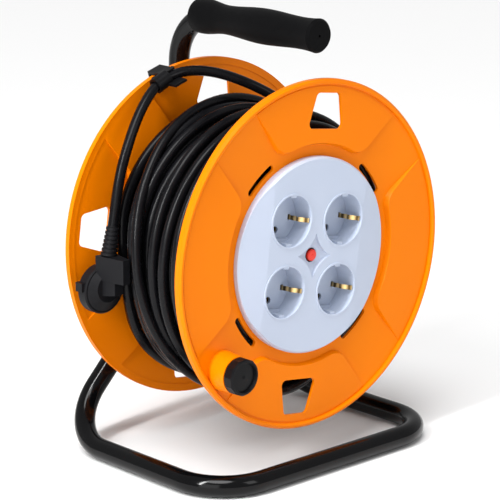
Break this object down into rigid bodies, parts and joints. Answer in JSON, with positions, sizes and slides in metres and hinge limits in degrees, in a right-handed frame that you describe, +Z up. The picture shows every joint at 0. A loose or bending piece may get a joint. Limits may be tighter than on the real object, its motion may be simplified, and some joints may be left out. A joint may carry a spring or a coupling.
{
  "type": "extension cord reel",
  "caption": "Hand-wound mains extension cord reel: moulded drum with a front socket panel, winding knob and wound flexible cord, turning on a bent tube stand with a grip on top.",
  "frame": {"origin": "centre of the footprint of the tube stand, on the floor", "axes": "+Z up, -Y is the front with the socket panel, the drum axle runs along Y, +X to the right seen from the front"},
  "size_m": [0.27, 0.1968, 0.3475],
  "materials": {
    "orange_plastic": "gloss",
    "panel_plastic": "satin",
    "black_plastic": "satin",
    "red_plastic": "gloss",
    "cord_jacket": "satin",
    "tube_enamel": "gloss",
    "grip_rubber": "matte",
    "brass": "satin",
    "nickel": "polished",
    "zinc_steel": "satin",
    "terminal_plastic": "satin",
    "live_insulation": "satin",
    "neutral_insulation": "satin",
    "earth_insulation": "satin"
  },
  "bodies": {
    "stand": {"frame_tube": "tube_enamel", "handle_grip": "grip_rubber", "axle_bolt": "zinc_steel", "axle_journal": "zinc_steel", "axle_nut": "zinc_steel", "keeper_washer": "zinc_steel", "saddle_washer": "zinc_steel"},
    "drum": {"button_spring": "zinc_steel", "cable_clamp": "black_plastic", "clamp_screws": "zinc_steel", "clamp_seat": "black_plastic", "contact_carrier": "black_plastic", "cord_clip": "black_plastic", "cord_coil": "cord_jacket", "cord_lead": "cord_jacket", "drum_core": "orange_plastic", "drum_screws": "zinc_steel", "earth_bar": "brass", "earth_clip_1": "brass", "earth_clip_2": "brass", "earth_clip_3": "brass", "earth_clip_4": "brass", "earth_wire": "earth_insulation", "front_flange": "orange_plastic", "hub_bush": "black_plastic", "inner_sheath": "cord_jacket", "knob_nut": "zinc_steel", "knob_stud": "zinc_steel", "knob_washer": "zinc_steel", "live_bar": "brass", "live_wire": "live_insulation", "neutral_bar": "brass", "neutral_wire": "neutral_insulation", "pin_sleeves_1": "brass", "pin_sleeves_2": "brass", "pin_sleeves_3": "brass", "pin_sleeves_4": "brass", "plug_body": "black_plastic", "plug_earth_strips": "brass", "plug_prongs": "nickel", "rear_flange": "orange_plastic", "socket_panel": "panel_plastic", "strain_relief": "black_plastic", "terminal_block": "terminal_plastic", "thermal_cutout": "black_plastic"},
    "knob": {"winding_knob": "black_plastic"},
    "button": {"reset_button": "red_plastic"}
  },
  "joints": [
    {"name": "drum_spin", "type": "hinge", "parent": "stand", "child": "drum", "pos_m": [0, -0.0029, 0.16525], "axis": [0, 1, 0], "continuous": true},
    {"name": "knob_spin", "type": "hinge", "parent": "drum", "child": "knob", "pos_m": [-0.09045, -0.0859, 0.09278], "axis": [0, 1, 0], "continuous": true},
    {"name": "reset_press", "type": "slide", "parent": "drum", "child": "button", "axis": [0, 1, 0], "range_m": [0, 0.0025], "stiffness_N_per_m": 400, "springref_m": -0.0015, "deforming": ["button_spring"]}
  ]
}
